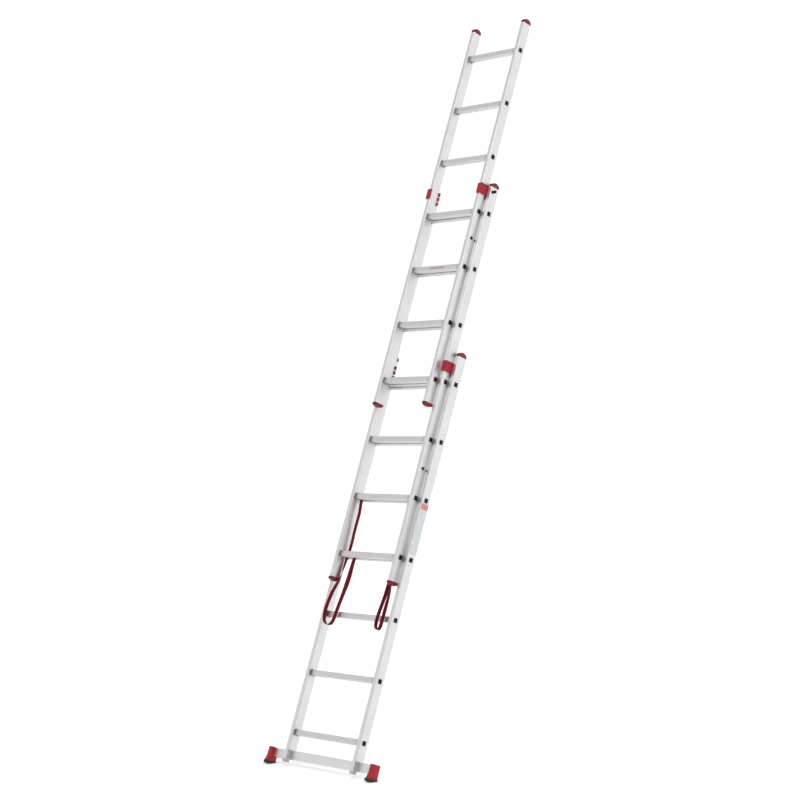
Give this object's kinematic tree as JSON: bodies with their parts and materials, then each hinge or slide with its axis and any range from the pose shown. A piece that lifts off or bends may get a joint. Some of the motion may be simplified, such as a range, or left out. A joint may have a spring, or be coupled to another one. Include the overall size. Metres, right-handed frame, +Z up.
{
  "type": "extension ladder",
  "caption": "Aluminium combination ladder in three sliding sections, drawn out and leaning, with guides, rung hooks, end caps, a foot bar with shoes and a webbing strap on each side.",
  "frame": {"origin": "on the floor, under the middle of the leaning ladder's bounding box, measured without the straps", "axes": "+X across the ladder to the right of someone climbing it, +Y from the climber towards the wall, +Z up. The stiles lean 19.5 degrees from +Z towards +Y."},
  "size_m": [0.728, 1.205, 3.4986],
  "materials": {
    "aluminium": "extruded, mill finish, lightly brushed along its length",
    "red_plastic": "moulded, satin",
    "grey_plastic": "moulded, matt",
    "rubber": "matt, dark",
    "zinc_steel": "zinc plated",
    "red_webbing": "woven polyester webbing"
  },
  "bodies": {
    "bottom_section": {"bottom_stile_left": "aluminium", "bottom_stile_right": "aluminium", "bottom_rung_1": "aluminium", "bottom_rung_2": "aluminium", "bottom_rung_3": "aluminium", "bottom_rung_4": "aluminium", "bottom_rung_5": "aluminium", "bottom_rung_6": "aluminium", "bottom_rung_7": "aluminium", "bottom_cap_left": "red_plastic", "bottom_cap_right": "red_plastic", "bottom_guide_left": "red_plastic", "bottom_guide_right": "red_plastic", "stabiliser_bar": "aluminium", "stile_insert_left": "grey_plastic", "stile_insert_right": "grey_plastic", "bar_bolt_left": "zinc_steel", "bar_bolt_right": "zinc_steel", "shoe_left": "red_plastic", "shoe_right": "red_plastic", "sole_left": "rubber", "sole_right": "rubber", "strap_left": "red_webbing", "strap_right": "red_webbing"},
    "middle_section": {"middle_stile_left": "aluminium", "middle_stile_right": "aluminium", "middle_rung_1": "aluminium", "middle_rung_2": "aluminium", "middle_rung_3": "aluminium", "middle_rung_4": "aluminium", "middle_rung_5": "aluminium", "middle_rung_6": "aluminium", "middle_rung_7": "aluminium", "middle_cap_left": "red_plastic", "middle_cap_right": "red_plastic", "middle_plug_left": "red_plastic", "middle_plug_right": "red_plastic", "middle_guide_left": "red_plastic", "middle_guide_right": "red_plastic", "middle_hook_left": "zinc_steel", "middle_hook_right": "zinc_steel", "middle_side_bolt_left": "zinc_steel", "middle_side_bolt_right": "zinc_steel"},
    "top_section": {"top_stile_left": "aluminium", "top_stile_right": "aluminium", "top_rung_1": "aluminium", "top_rung_2": "aluminium", "top_rung_3": "aluminium", "top_rung_4": "aluminium", "top_rung_5": "aluminium", "top_rung_6": "aluminium", "top_rung_7": "aluminium", "top_cap_left": "red_plastic", "top_cap_right": "red_plastic", "top_plug_left": "red_plastic", "top_plug_right": "red_plastic", "top_hook_left": "zinc_steel", "top_hook_right": "zinc_steel", "top_side_bolt_left": "zinc_steel", "top_side_bolt_right": "zinc_steel"}
  },
  "joints": [
    {"name": "middle_slide", "type": "slide", "parent": "bottom_section", "child": "middle_section", "axis": [0, 0.3338, 0.9426], "range_m": [-0.84, 0], "deforming": ["strap_left", "strap_right"]},
    {"name": "top_slide", "type": "slide", "parent": "middle_section", "child": "top_section", "axis": [0, 0.3338, 0.9426], "range_m": [-0.84, 0]}
  ]
}
